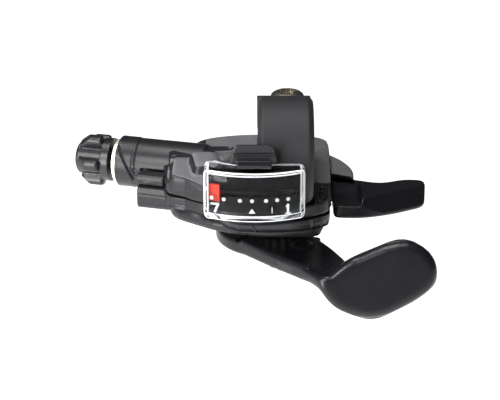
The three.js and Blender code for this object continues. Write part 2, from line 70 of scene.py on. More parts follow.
# ---- materials ----------------------------------------------------------------------
MOTTLE_SCALE = 160
RELIEF = 0.1 * MM                         # how deep the grain would be at full strength
WORN_FROM, WORN_TO = 0.52, 0.64           # pointiness at which an edge starts to pale, and is fully pale
LENS_IOR = 1.17                           # low, so that the dial shows clearly through both faces


def noise(nodes, links, place, scale, detail=3):
    """Noise fixed to the object, so it moves with the piece."""
    texture = nodes.new("ShaderNodeTexNoise")
    texture.inputs["Scale"].default_value = scale
    texture.inputs["Detail"].default_value = detail
    links.new(place.outputs["Object"], texture.inputs["Vector"])
    return texture.outputs["Fac"]


def material(name, base, roughness, metallic=0.0, grain=900, bump=0.15, mottle=0.15, spread=0.08, wear=0.0,
             shine=0.5):
    """A moulded or machined surface: fine grain, mottled colour and roughness, and paler worn edges."""
    made = bpy.data.materials.new(name)
    made.use_nodes = True
    nodes = made.node_tree.nodes
    links = made.node_tree.links
    shader = nodes["Principled BSDF"]
    shader.inputs["Metallic"].default_value = metallic
    shader.inputs["Specular IOR Level"].default_value = shine
    place = nodes.new("ShaderNodeTexCoord")
    coarse = noise(nodes, links, place, MOTTLE_SCALE, 4)
    tint = nodes.new("ShaderNodeMixRGB")
    tint.inputs["Color1"].default_value = (*[c * (1 - mottle) for c in base], 1)
    tint.inputs["Color2"].default_value = (*[min(1, c * (1 + mottle)) for c in base], 1)
    links.new(coarse, tint.inputs["Fac"])
    colour = tint.outputs["Color"]
    if wear:
        edge = nodes.new("ShaderNodeNewGeometry")
        sharp = nodes.new("ShaderNodeMapRange")
        sharp.inputs["From Min"].default_value = WORN_FROM
        sharp.inputs["From Max"].default_value = WORN_TO
        sharp.inputs["To Max"].default_value = wear
        links.new(edge.outputs["Pointiness"], sharp.inputs["Value"])
        rubbed = nodes.new("ShaderNodeMixRGB")
        rubbed.inputs["Color2"].default_value = (*[min(1, c * 4 + 0.03) for c in base], 1)
        links.new(sharp.outputs["Result"], rubbed.inputs["Fac"])
        links.new(colour, rubbed.inputs["Color1"])
        colour = rubbed.outputs["Color"]
    links.new(colour, shader.inputs["Base Color"])
    gloss = nodes.new("ShaderNodeMapRange")
    gloss.inputs["To Min"].default_value = max(0.02, roughness - spread)
    gloss.inputs["To Max"].default_value = min(1, roughness + spread)
    links.new(coarse, gloss.inputs["Value"])
    links.new(gloss.outputs["Result"], shader.inputs["Roughness"])
    relief = nodes.new("ShaderNodeBump")
    relief.inputs["Strength"].default_value = bump
    relief.inputs["Distance"].default_value = RELIEF
    links.new(noise(nodes, links, place, grain), relief.inputs["Height"])
    links.new(relief.outputs["Normal"], shader.inputs["Normal"])
    return made


def clear(name, roughness, tint):
    """Clear polycarbonate, polished on its faces."""
    made = material(name, tint, roughness, grain=500, bump=0.03, mottle=0.01, spread=roughness * 0.4)
    shader = made.node_tree.nodes["Principled BSDF"]
    shader.inputs["Transmission Weight"].default_value = 1.0
    shader.inputs["IOR"].default_value = LENS_IOR
    return made


MATERIALS = {
    "shell_plastic": material("shell_plastic", (0.014, 0.014, 0.016), 0.36, grain=2600, bump=0.3,
                              wear=0.2, shine=0.3),
    "lever_black": material("lever_black", (0.008, 0.008, 0.01), 0.3, grain=3200, bump=0.18,
                            wear=0.2, shine=0.3),
    "gloss_black": material("gloss_black", (0.012, 0.012, 0.014), 0.3, grain=1600, bump=0.12,
                            wear=0.2, shine=0.4),
    "clamp_black": material("clamp_black", (0.017, 0.017, 0.019), 0.6, grain=3000, bump=0.35,
                            wear=0.3, shine=0.3),
    "nickel_steel": material("nickel_steel", (0.52, 0.48, 0.42), 0.27, metallic=1.0, grain=2500, bump=0.1),
    "nickel_ring": material("nickel_ring", (0.8, 0.76, 0.62), 0.35, metallic=0.6, grain=2500, bump=0.08),
    "spring_wire": material("spring_wire", (0.42, 0.43, 0.45), 0.3, metallic=1.0, grain=2500, bump=0.08),
    "clear_lens": clear("clear_lens", 0.03, (0.97, 0.98, 1.0)),
    "dial_black": material("dial_black", (0.002, 0.002, 0.0025), 0.5, grain=2000, bump=0.05, shine=0.08),
    "pointer_red": material("pointer_red", (0.5, 0.035, 0.015), 0.45, grain=1500, bump=0.1, shine=0.2),
    "grey_nylon": material("grey_nylon", (0.05, 0.052, 0.056), 0.5, grain=1500, bump=0.2),
}
# Near-white colour for the lens's bevelled rims: painted highlight where the edges catch the light.
LENS_RIM_HIGHLIGHT = material("lens_rim_highlight", (0.93, 0.94, 0.95), 0.35, grain=900, bump=0.05, mottle=0.03)
# Matt grain with a pale grey colour for the cover's upward faces: painted light from above.
SHELL_MATT_PAINTED_LIGHT = material("shell_matt_painted_light", (0.12, 0.12, 0.125), 0.8, grain=3400, bump=0.6, mottle=0.3, shine=0.3)
PRINT_WHITE = material("print_white", (0.85, 0.85, 0.85), 0.5, grain=2500, bump=0.05, mottle=0.04)

for node, part in frame["nodes"].items():
    part.data.materials.clear()
    part.data.materials.append(MATERIALS[SLOT_OF[node]])


# ---- mesh helpers -------------------------------------------------------------------
def new_piece(name, mesh, node=None, body=None, finish=None):
    """A visible object that stands for a CAD node, or rides on a body beside one."""
    piece = bpy.data.objects.new(name, mesh)
    scene.collection.objects.link(piece)
    slot_name = SLOT_OF[node] if node else None
    mesh.materials.clear()
    mesh.materials.append(finish or MATERIALS[slot_name])
    if node:
        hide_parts(node)
    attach(piece, body or BODY_OF[node])
    return piece


def applied(piece):
    """Works the piece's modifiers into its mesh."""
    evaluated = piece.evaluated_get(bpy.context.evaluated_depsgraph_get())
    mesh = bpy.data.meshes.new_from_object(evaluated)
    piece.modifiers.clear()
    piece.data = mesh


def smooth_faces(mesh):
    """Shades every face of a mesh smoothly."""
    for face in mesh.polygons:
        face.use_smooth = True


def moulded(node, voxel, rounds):
    """A copy of a CAD solid with its edges softened as a mould leaves them."""
    piece = new_piece(node + "_skin", frame["nodes"][node].data.copy(), node)
    remesh = piece.modifiers.new("remesh", "REMESH")
    remesh.mode = "VOXEL"
    remesh.voxel_size = voxel * MM
    soften = piece.modifiers.new("soften", "SMOOTH")
    soften.iterations = rounds
    soften.factor = 0.5
    applied(piece)
    smooth_faces(piece.data)
    return piece


def points(piece):
    """Corner positions in millimetres, and their normals."""
    vertices = piece.data.vertices
    places = np.empty(len(vertices) * 3)
    normals = np.empty(len(vertices) * 3)
    vertices.foreach_get("co", places)
    vertices.foreach_get("normal", normals)
    return places.reshape(-1, 3) / MM, normals.reshape(-1, 3)


def place_points(piece, places):
    """Moves the corners to places given in millimetres."""
    piece.data.vertices.foreach_set("co", (places * MM).ravel())
    piece.data.update()


def step(value, low, high):
    """Rises smoothly from 0 at low to 1 at high."""
    t = np.clip((value - low) / (high - low), 0, 1)
    return t * t * (3 - 2 * t)


def round_again(piece, middle, axis, radius, slack, along=None):
    """Brings a faceted round wall back to its true radius about an axis."""
    places, normals = points(piece)
    axis = np.array(axis, float) / np.linalg.norm(axis)
    rel = places - np.array(middle, float)
    far = rel @ axis
    out = rel - far[:, None] * axis
    size = np.linalg.norm(out, axis=1)
    turned = np.abs(np.sum(normals * out, axis=1)) / np.maximum(size, 1e-6)
    picked = (np.abs(size - radius) < slack) & (turned > 0.9)
    if along:
        picked &= (far > along[0]) & (far < along[1])
    move = np.where(picked, radius / np.maximum(size, 1e-6), 1)
    place_points(piece, np.array(middle, float) + far[:, None] * axis + out * move[:, None])


def soften_where(piece, chosen, rounds):
    """Blends creases away on part of a piece, as a mould's fillets do."""
    group = piece.vertex_groups.new(name="soft")
    for share in (0.35, 0.7, 1.0):
        band = np.flatnonzero((chosen > share - 0.35) & (chosen <= share))
        group.add([int(i) for i in band], share, "REPLACE")
    smoothing = piece.modifiers.new("blend", "SMOOTH")
    smoothing.iterations = rounds
    smoothing.factor = 0.5
    smoothing.vertex_group = "soft"
    applied(piece)
    piece.vertex_groups.clear()


def plane_axes(facing):
    """The unit direction facing, and two directions across it."""
    out = np.array(facing, float) / np.linalg.norm(facing)
    side = np.cross(out, (0, 0, 1) if abs(out[2]) < 0.9 else (0, 1, 0))
    side /= np.linalg.norm(side)
    return out, side, np.cross(out, side)


def line_mark(piece, path, width, depth, facing, reach=2.5):
    """A groove (depth below 0) or a bead along a path of points, on the surface that looks along facing."""
    places, normals = points(piece)
    out, side, up = plane_axes(facing)
    path = np.array(path, float)
    best = np.full(len(places), 1e9)
    for a, b in zip(path[:-1], path[1:]):
        run = np.array([(b - a) @ side, (b - a) @ up])
        rel = np.stack([(places - a) @ side, (places - a) @ up], axis=1)
        t = np.clip(rel @ run / max(run @ run, 1e-9), 0, 1)
        gap = np.linalg.norm(rel - t[:, None] * run, axis=1)
        off = np.abs((places - a) @ out - t * ((b - a) @ out))
        best = np.minimum(best, np.where(off < reach, gap, 1e9))
    lift = depth * (1 - step(best, width * 0.3, width)) * step(normals @ out, 0.1, 0.5)
    place_points(piece, places + lift[:, None] * out)


def rounded(corners, times):
    """The same outline with its corners cut again and again, until it is a smooth curve."""
    made = [np.array(corner, float) for corner in corners]
    for _ in range(times):
        cut = []
        for a, b in zip(made, made[1:] + made[:1]):
            cut += [a * 0.75 + b * 0.25, a * 0.25 + b * 0.75]
        made = cut
    return made


def in_outline(u, v, corners):
    """Which points of a plane lie inside an outline, and how far they are from its edge."""
    inside = np.zeros(len(u), bool)
    gap = np.full(len(u), 1e9)
    for (au, av), (bu, bv) in zip(corners, list(corners[1:]) + [corners[0]]):
        inside ^= ((av > v) != (bv > v)) & (u < (bu - au) * (v - av) / (bv - av + 1e-12) + au)
        run = np.array([bu - au, bv - av])
        rel = np.stack([u - au, v - av], axis=1)
        t = np.clip(rel @ run / max(run @ run, 1e-9), 0, 1)
        gap = np.minimum(gap, np.linalg.norm(rel - t[:, None] * run, axis=1))
    return inside, gap


def area_mark(piece, corners, edge, depth, facing, reach=3.0):
    """A recess (depth below 0) or a raised pad inside an outline, with a sloping edge."""
    places, normals = points(piece)
    out, side, up = plane_axes(facing)
    corners = np.array(corners, float)
    middle = corners.mean(axis=0)
    flat = [((corner - middle) @ side, (corner - middle) @ up) for corner in corners]
    inside, gap = in_outline((places - middle) @ side, (places - middle) @ up, flat)
    signed = np.where(inside, gap, -gap)
    near = np.abs((places - middle) @ out) < reach
    lift = depth * step(signed, 0, edge) * near * step(normals @ out, 0.2, 0.6)
    place_points(piece, places + lift[:, None] * out)


def oval(middle, across, along, turn=0, count=24):
    """Points of a flat oval in plan."""
    made = []
    for i in range(count):
        a = 2 * math.pi * i / count
        x, y = across * math.cos(a), along * math.sin(a)
        c, s = math.cos(turn), math.sin(turn)
        made.append((middle[0] + x * c - y * s, middle[1] + x * s + y * c, middle[2]))
    return made


# ---- cover and lower housing --------------------------------------------------------
FRONT = (0, -1, 0)
UP = (0, 0, 1)
HALF_UP = (0, -0.6, 0.8)
POD_X, POD_Y = -2.4, 20                   # the main axle, and the middle of the round pod
POD_RADIUS = 21.7
AXLE_POINT = np.array((POD_X, POD_Y, 0))
PARTING = -16.5                           # height where the cover meets the lower housing
BAR_ROOM = 12.45                          # radius kept free for the handlebar and the clamp band
TUBE_YAW = math.radians(15.56)            # the cable tube's lean away from the handlebar
TUBE_POINT = np.array((-22.95, 25.6, -15))
TUBE_OUT = np.array((-math.cos(TUBE_YAW), math.sin(TUBE_YAW), 0))
TUBE_NEAR = np.array((-math.sin(TUBE_YAW), -math.cos(TUBE_YAW), 0))
TUBE_RADIUS = 6.88
TUBE_LENGTH = 17.14


def on_tube(along, near, high):
    """A place given along the cable tube, towards the rider and up."""
    return tuple(TUBE_POINT + TUBE_OUT * along + TUBE_NEAR * near + np.array((0, 0, high)))


def draw_in(piece):
    """On the cable side the front wall runs back towards the tube, above the lower shell."""
    places, _ = points(piece)
    x, y, z = places.T
    # Along the body: where the wall stands, how far back the move reaches, and how far the wall moves.
    wall = np.interp(x, [-31.5, -21.5, -8], [8, -5.5, -9.2])
    limit = np.interp(x, [-32, -28, -24.5, -12], [14, 13, 7, 7])
    inwards = np.interp(x, [-32, -31.3, -26.5, -21.5, -18, -14.5, -12], [0, 1.4, 5.8, 8.6, 6, 1.5, 0])
    share = np.clip((limit - y) / (limit - wall), 0, 1.1) * step(z, -22.6, -19.4)
    places[:, 1] += inwards * share
    place_points(piece, places)


def square_end(piece, end, side, radius, at):
    """Makes the end of a round tube crisp, and moves it to a new place along the tube's axis."""
    places, _ = points(piece)
    rel = places - TUBE_POINT
    along = rel @ TUBE_OUT
    out = rel - along[:, None] * TUBE_OUT
    size = np.linalg.norm(out, axis=1)
    near = ((along - end) * side < 0.75) & (size > radius - 0.75)
    face = ((along - end) * side < 0.32) & (size > radius - 1.6)
    size_now = np.where(near & (size < radius + 0.4), radius, size)
    along_now = np.where(face, at, along)
    grown = (size_now / np.maximum(size, 1e-6))[:, None]
    place_points(piece, TUBE_POINT + along_now[:, None] * TUBE_OUT + out * grown)


def raise_cable_side(piece):
    """From the tube to the top of the front wall the cover is nearly level, and clears the handlebar."""
    places, _ = points(piece)
    x, y, z = places.T
    old_top = np.maximum(-12.6, np.interp(y, [13.5, 20, 27], [-13.4, -9.6, -8.4]))
    under_bar = -np.sqrt(np.maximum(BAR_ROOM ** 2 - y ** 2, 0)) - 0.15
    new_top = np.minimum(-10.7 + 0.16 * (y - 7), np.where(y < 12.4, under_bar, 0))
    stretch = np.maximum((new_top - PARTING) / (old_top - PARTING), 1)
    share = step(x, -31.2, -29.6) * step(-14 - x, 0, 5) * step(21 - y, 0, 4) * (z > PARTING)
    places[:, 2] += (z - PARTING) * (stretch - 1) * share
    place_points(piece, places)


def blend_cable_side(piece):
    """Blends the raised side into the tube, and more strongly right behind the lens."""
    places, _ = points(piece)
    x, y, z = places.T
    soft = (step(x, -33, -31.5) * step(-13.5 - x, 0, 2) * step(31 - y, 0, 2)
            * step(z, -13.4, -12.4) * step(y, 0, 2))
    soften_where(piece, soft, 60)
    places, _ = points(piece)
    x, y, z = places.T
    soft = (step(x, -25.5, -23.5) * step(-12.5 - x, 0, 1) * step(24 - y, 0, 2)
            * step(z, -12.9, -12.2) * step(y, 2, 4))
    soften_where(piece, soft, 220)


def shape_grip_side(piece):
    """The raised part slopes to the front, and the round edge carries on beside the release lever."""
    places, _ = points(piece)
    x, y, z = places.T
    places[:, 2] -= np.clip((20 - y) / 11.5, 0, 1) * step(x, 7.5, 9) * (z > -12.4) * 1.9
    rim = np.clip((30 - y) / 5.8, 0, 1) * step(x, 12.1, 13) * (y > POD_Y) * (z < -13.2)
    size = np.hypot(x - POD_X, y - POD_Y)
    lower_y = y - (4.3 + np.clip(x - 13, 0, 6) * 0.45) * rim
    at_edge = np.clip((size - 15) / 6.7, 0, 1)
    arc_x = np.sqrt(np.maximum(size ** 2 - (lower_y - POD_Y) ** 2, 0)) + POD_X
    places[:, 0] = np.where(rim > 0, x + (arc_x - x) * at_edge, x)
    places[:, 1] = lower_y
    places[:, 2] = np.where((rim > 0) & (lower_y < 24.6), np.maximum(z, -15.55), z)
    place_points(piece, places)


def mark_cover(piece):
    """Creases on the cable side, the panel and bead on top, and the small screw boss by the display."""
    line_mark(piece, [(-30.2, 19.5, -9), (-30.8, 15, -10.6), (-31.2, 12, -12.7)], 0.9, -0.3, (-0.2, -0.7, 0.7))
    line_mark(piece, [(-29.6, 9.2, -11), (-26.5, 7.4, -11.2), (-21, 3.6, -12.2)], 0.24, -0.4, (0, -0.8, 0.6))
    area_mark(piece, oval((-16, 26, -14.2), 8.2, 3.4, 0.35), 0.5, -0.25, UP)
    line_mark(piece, [(8, 26.5, -10.5), (10.8, 20.5, -10.6), (12.4, 24.5, -10.5)], 0.5, 0.2, UP)
    slot = [(8.9, -0.8, -12.6), (10.2, -0.8, -12.6), (10.6, 5.5, -12.6), (9.6, 5.5, -12.6)]
    area_mark(piece, slot, 0.3, -1.0, UP)
    area_mark(piece, oval((9.8, -3.4, -13), 1.5, 1.5), 0.25, 0.3, UP)
    area_mark(piece, oval((9.8, -3.4, -13), 0.8, 0.8), 0.2, -0.8, UP)


def paint_light_on_matt_top(piece):
    """The round top, the raised part behind the bar and the fairing behind the lens are matt, and their upward
    faces take a much paler colour: painted light from above.
    """
    piece.data.materials.append(SHELL_MATT_PAINTED_LIGHT)
    for face in piece.data.polygons:
        across, away, high = face.center / MM
        on_disc = (math.hypot(across - POD_X, away - POD_Y) < POD_RADIUS + 0.3 and across > -15 and away > 8
                   and high > -14.8)
        on_boss = away > 27 and across > -21.5 and high > -14.6
        on_fairing = -31.5 < across < -14 and 3 < away < 20 and high > -12.9
        # Only faces turned upwards take the pale colour: painted light from above.
        if on_fairing and face.normal.z > 0.55 or (on_disc or on_boss) and face.normal.z > 0.15:
            face.material_index = 1


def upper_cover():
    piece = moulded("upper_cover", 0.16, 7)
    draw_in(piece)
    raise_cable_side(piece)
    blend_cable_side(piece)
    round_again(piece, TUBE_POINT, TUBE_OUT, TUBE_RADIUS, 0.3, (0, 17))
    square_end(piece, 16.95, -1, TUBE_RADIUS, TUBE_LENGTH)
    round_again(piece, AXLE_POINT, UP, POD_RADIUS - 0.02, 0.3)
    shape_grip_side(piece)
    mark_cover(piece)
    paint_light_on_matt_top(piece)


def lower_housing():
    piece = moulded("lower_housing", 0.16, 7)
    round_again(piece, AXLE_POINT, UP, POD_RADIUS - 0.02, 0.3)
    places, normals = points(piece)
    _, y, z = places.T
    # Below its ridge the front wall leans inwards.
    places[:, 1] += np.clip(-18.2 - z, 0, 1.8) * 0.45 * step(-normals[:, 1], 0.3, 0.7) * step(3 - y, 0, 4)
    place_points(piece, places)
    ridge = [(-31, 9.5, -20), (-26.3, 1, -19.2), (-21.7, -4.3, -18.5), (-17.4, -6.6, -18.3), (-13, -7.7, -18.1),
             (-8, -8.4, -17.9), (-2.6, -8.4, -17.7), (2.6, -7.9, -17.4), (6.2, -6.7, -17.1)]
    line_mark(piece, ridge, 0.55, 0.35, FRONT, 6)
    line_mark(piece, [(-8.6, -8.4, -18.1), (-7.6, -8.4, -19.8)], 0.35, 0.35, FRONT)
    line_mark(piece, [(6.9, -6.7, -16.8), (7, -6.6, -20)], 0.35, 0.3, FRONT, 4)
    line_mark(piece, [(9.9, -4.2, -16.8), (9.4, -4.2, -20)], 0.35, 0.3, (0.4, -1, 0), 4)
    draw_in(piece)
    line_mark(piece, [on_tube(4, 11, -5.4), on_tube(15.5, 11, -5.0)], 0.3, -0.3, tuple(TUBE_NEAR))


def cable_hatch():
    piece = moulded("cable_hatch", 0.15, 4)
    pad = [on_tube(8.4, 11, -1.6), on_tube(11, 11, -0.7), on_tube(13.6, 11, -1.6), on_tube(11, 11, -1.9)]
    area_mark(piece, pad, 0.25, 0.15, tuple(TUBE_NEAR))


def adjuster_socket():
    piece = moulded("adjuster_socket", 0.2, 3)
    round_again(piece, TUBE_POINT, TUBE_OUT, 7.05, 0.5, (17, 22))
    square_end(piece, 17.2, 1, 6.9, 17.17)
    # The groove of the parting line curves down round the front.
    seam = [(-45.7, 27.7, -9.2), (-44.7, 25.5, -11.1), (-43.9, 24.6, -12.7), (-43.1, 23.9, -14.3),
            (-42.5, 23.8, -15.5), (-42, 23.8, -16.6), (-41.3, 24, -17.8), (-40.3, 24.6, -18.7)]
    line_mark(piece, seam, 0.34, -0.55, (-0.2, -0.9, 0.3), 6)


KNOB_FINS = 7.55                          # radius over the fins
KNOB_CORE = 4.6
KNOB_COLLAR = 6.05


def barrel_adjuster():
    """The knob's fins stand well clear of its core and slope down at the free end."""
    piece = moulded("barrel_adjuster", 0.18, 3)
    places, _ = points(piece)
    rel = places - TUBE_POINT
    along = rel @ TUBE_OUT
    out = rel - along[:, None] * TUBE_OUT
    size = np.linalg.norm(out, axis=1)
    slim = np.interp(size, [0, 3, 5.1, 7.1, 7.3], [0, 3, KNOB_CORE, KNOB_FINS, KNOB_FINS + 0.2])
    slim = np.minimum(slim, KNOB_FINS - np.clip(along - 31.4, 0, 4) * 0.75)
    share = step(along, 27.3, 27.9)
    wanted = np.where(size < 3, size, size + (slim - size) * share)
    grown = (wanted / np.maximum(size, 1e-6))[:, None]
    place_points(piece, TUBE_POINT + along[:, None] * TUBE_OUT + out * grown)
    round_again(piece, TUBE_POINT, TUBE_OUT, KNOB_CORE, 0.25)
    round_again(piece, TUBE_POINT, TUBE_OUT, KNOB_COLLAR, 0.2, (25, 28))


# ---- levers -------------------------------------------------------------------------
PADDLE_MIDDLE = np.array((24.2, -14.5, -30))
PADDLE_FACE = np.array((0, -0.978, 0.208))
PADDLE_RISE = np.array((0, 0.208, 0.978))
PADDLE_RIM = [(-19, -4.5), (-16, 0.5), (-9, 4.5), (7, 11.2), (15, 5.5), (15.2, -1.5), (10, -6), (-1.5, -11.8),
              (-12, -8)]
PADDLE_HALF = 2.3                         # half of the paddle's thickness
FILLET = 2.3                              # radius of the paddle's rolled edge


def push_lever():
    piece = moulded("push_lever", 0.2, 16)
    places, _ = points(piece)
    x, y, _ = places.T
    # The paddle's face rolls over into its rim.
    rel = places - PADDLE_MIDDLE
    u, v, t = x - PADDLE_MIDDLE[0], rel @ PADDLE_RISE, rel @ PADDLE_FACE
    inside, gap = in_outline(u, v, rounded(PADDLE_RIM, 2))
    short = np.clip(FILLET - np.where(inside, gap, 0), 0, FILLET)
    roll = (FILLET - np.sqrt(np.maximum(FILLET ** 2 - short ** 2, 0))) * step(x, 14, 20)
    pulled = np.where((t > 0) & (y < -10), np.minimum(t, PADDLE_HALF - np.minimum(roll, 2.1)), t)
    places += (pulled - t)[:, None] * PADDLE_FACE
    place_points(piece, places)
    neck = step(x, 3, 7) * step(19 - x, 0, 4) * step(-9.5 - y, 0, 3)
    soften_where(piece, neck, 220)
    soften_where(piece, step(x, 10, 12), 30)
    area_mark(piece, oval((4.9, 3.9, -29), 3.5, 4.1), 1.6, 0.7, UP)
    line_mark(piece, [(-12.2, 8.1, -29), (-9.6, 10.4, -29)], 0.7, -0.8, UP)
    edge = [(-11, 6.8, -29), (-5.2, 0.9, -29), (0.4, -4.6, -29), (5.8, -10.2, -29)]
    line_mark(piece, edge, 0.9, 0.35, UP)


def release_lever():
    piece = moulded("release_lever", 0.2, 5)
    places, _ = points(piece)
    x, y, z = places.T
    # The arm's top tilts down towards the rider, well below the top of the paddle.
    edge = np.interp(x, [13, 14.6, 18.5, 22], [23.5, 22.5, 20, 19])
    sunk = np.clip((edge - y) / 9, 0, 1) * (1 - step(x, 19.8, 21.2)) * 2.0
    places[:, 2] -= np.where(z > -19, (z + 19) / 3.1 * sunk, 0)
    # The paddle's front is one broad slope from its top edge to its underside.
    brow = 8.2 + (x - 25.3) * 0.62
    drop = np.clip((brow - y) * 1.35, 0, 4.3) * step(x, 20.4, 21.6)
    places[:, 2] -= np.where(z > -20.8, (z + 20.8) / 4.9 * drop, 0)
    place_points(piece, places)
    line_mark(piece, [(13.3, 4.9, -17.9), (17.5, 4.2, -17.9), (20.2, 4.3, -17.9)], 0.4, 0.2, HALF_UP, 3)


# ---- clamp --------------------------------------------------------------------------
BAND_RADIUS = 13.98
BORE_RADIUS = 11.32                       # half of the 22.2 mm bar, and a little room


def clamp_band():
    """The band's two edges are rounded over."""
    piece = moulded("clamp_band", 0.2, 5)
    round_again(piece, (0, 0, 0), (1, 0, 0), BAND_RADIUS, 0.25)
    round_again(piece, (0, 0, 0), (1, 0, 0), BORE_RADIUS, 0.25)
    places, _ = points(piece)
    x, y, z = places.T
    size = np.hypot(y, z)
    soft = BAND_RADIUS - np.clip(np.abs(x) - 5.6, 0, 1.6) ** 2 * 0.55
    shrink = np.where((size > 12.5) & (y < 11.5), np.minimum(size, soft) / np.maximum(size, 1e-6), 1)
    place_points(piece, np.stack([x, y * shrink, z * shrink], axis=1))


BOLT_PLACE = (0.9, 18.0)
BOLT_HEAD, BOLT_SHAFT = 4.6, 2.45         # radii of the M5 button head and its shaft
BOLT_TOP, BOLT_SEAT, BOLT_END = 10.1, 7.9, -13.2
DOME_FLAT = 1.5                           # radius of the head's flat middle
THREAD_TURNS, THREAD_PITCH = 22, 0.8
SOCKET_RADIUS, SOCKET_LOBE, SOCKET_DEPTH = 2.25, 0.42, 1.5


def level_point(radius, turn, height):
    """A corner in metres, at an angle about the vertical axis."""
    return (radius * MM * math.cos(turn), radius * MM * math.sin(turn), height * MM)


def lathe(profile, sides):
    """A closed turned solid from (radius, height) points, about the vertical axis."""
    shape = bmesh.new()
    rings = []
    for radius, height in profile:
        turns = [2 * math.pi * i / sides for i in range(sides)] if radius else [0]
        rings.append([shape.verts.new(level_point(radius, turn, height)) for turn in turns])
    for low, high in zip(rings[:-1], rings[1:]):
        for i in range(sides):
            j = (i + 1) % sides
            corners = [low[i % len(low)], low[j % len(low)], high[j % len(high)], high[i % len(high)]]
            shape.faces.new(list(dict.fromkeys(corners)))
    bmesh.ops.recalc_face_normals(shape, faces=shape.faces)
    mesh = bpy.data.meshes.new("turned")
    shape.to_mesh(mesh)
    shape.free()
    return mesh


def socket_cutter(count=60):
    """The six-lobed hole in the bolt's head."""
    lobes = bmesh.new()
    low, high = [], []
    for i in range(count):
        turn = 2 * math.pi * i / count
        radius = SOCKET_RADIUS + SOCKET_LOBE * math.cos(6 * turn)
        low.append(lobes.verts.new(level_point(radius, turn, BOLT_TOP - SOCKET_DEPTH)))
        high.append(lobes.verts.new(level_point(radius, turn, BOLT_TOP + 1)))
    lobes.faces.new(low[::-1])
    lobes.faces.new(high)
    for i in range(count):
        j = (i + 1) % count
        lobes.faces.new([low[i], low[j], high[j], high[i]])
    mesh = bpy.data.meshes.new("cutter")
    lobes.to_mesh(mesh)
    lobes.free()
    cutter = bpy.data.objects.new("cutter", mesh)
    scene.collection.objects.link(cutter)
    return cutter


def clamp_bolt():
    """Button head with a six-lobed socket, domed above and threaded below."""
    dome = []
    for i in range(9):
        rise = math.pi / 2 * i / 9
        dome.append((DOME_FLAT + (BOLT_HEAD - DOME_FLAT) * math.cos(rise),
                     BOLT_SEAT + 0.5 + (BOLT_TOP - BOLT_SEAT - 0.5) * math.sin(rise)))
    thread = []
    for i in range(THREAD_TURNS):
        z = BOLT_END + 0.5 + i * THREAD_PITCH
        thread += [(BOLT_SHAFT - 0.3, z), (BOLT_SHAFT - 0.02, z + THREAD_PITCH / 2)]
    foot = [(0, BOLT_END), (BOLT_SHAFT - 0.4, BOLT_END)]
    seat = [(BOLT_SHAFT - 0.02, BOLT_SEAT), (BOLT_HEAD - 0.25, BOLT_SEAT), (BOLT_HEAD, BOLT_SEAT + 0.25)]
    crown = [(DOME_FLAT, BOLT_TOP), (0, BOLT_TOP)]
    piece = new_piece("clamp_bolt_detail", lathe(foot + thread + seat + dome + crown, 64), "clamp_bolt")
    cutter = socket_cutter()
    socket = piece.modifiers.new("socket", "BOOLEAN")
    socket.operation = "DIFFERENCE"
    socket.object = cutter
    bevel = piece.modifiers.new("bevel", "BEVEL")
    bevel.width = 0.12 * MM
    bevel.segments = 2
    bevel.angle_limit = math.radians(40)
    applied(piece)
    bpy.data.objects.remove(cutter)
    piece.data.transform(Matrix.Translation((BOLT_PLACE[0] * MM, BOLT_PLACE[1] * MM, 0)))
    piece.data.set_sharp_from_angle(angle=math.radians(35))
    smooth_faces(piece.data)


# ---- gear display -------------------------------------------------------------------
DIAL_X, DIAL_Y = -8, 3.5                  # the upright axis the dial curves about
PRINT_R = 24.45                           # radius of the printed figures
DOT_ROW = -6.0
DOT_PLACES = (-25.9, -18.2, -8.5, -1.4, 6.8, 13.4, 20.2)
HALF_DOT_WIDTH, HALF_DOT_HEIGHT = 1.15, 0.5
LENS_HALF_WIDTH = 12.75
LENS_TOP, LENS_FOOT = 1.6, -11.4


def on_dial(degrees, z, r):
    """A place in metres, at an angle round the dial."""
    a = math.radians(degrees)
    return ((DIAL_X + r * math.sin(a)) * MM, (DIAL_Y - r * math.cos(a)) * MM, z * MM)


def printed(shape, outline_points, thick=0.05):
    """A thin painted figure, from (degrees, height) points, on the inside of the lens."""
    front = [shape.verts.new(on_dial(a, z, PRINT_R)) for a, z in outline_points]
    rear = [shape.verts.new(on_dial(a, z, PRINT_R - thick)) for a, z in outline_points]
    shape.faces.new(front)
    shape.faces.new(rear[::-1])
    for i in range(len(front)):
        j = (i + 1) % len(front)
        shape.faces.new([front[i], rear[i], rear[j], front[j]])


def stroke(shape, path, width):
    """A painted line through (degrees, height) points. One degree is about 0.43 mm here."""
    per_degree = math.radians(1) * PRINT_R
    flat = [(a * per_degree, z) for a, z in path]
    left, right = [], []
    for i, (u, v) in enumerate(flat):
        before, after = flat[max(i - 1, 0)], flat[min(i + 1, len(flat) - 1)]
        du, dv = after[0] - before[0], after[1] - before[1]
        size = math.hypot(du, dv)
        nu, nv = -dv / size * width / 2, du / size * width / 2
        left.append(((u + nu) / per_degree, v + nv))
        right.append(((u - nu) / per_degree, v - nv))
    printed(shape, left + right[::-1])


def dot(shape, degrees, sides=18):
    rim = []
    for i in range(sides):
        turn = 2 * math.pi * i / sides
        rim.append((degrees + HALF_DOT_WIDTH * math.cos(turn), DOT_ROW + HALF_DOT_HEIGHT * math.sin(turn)))
    printed(shape, rim)


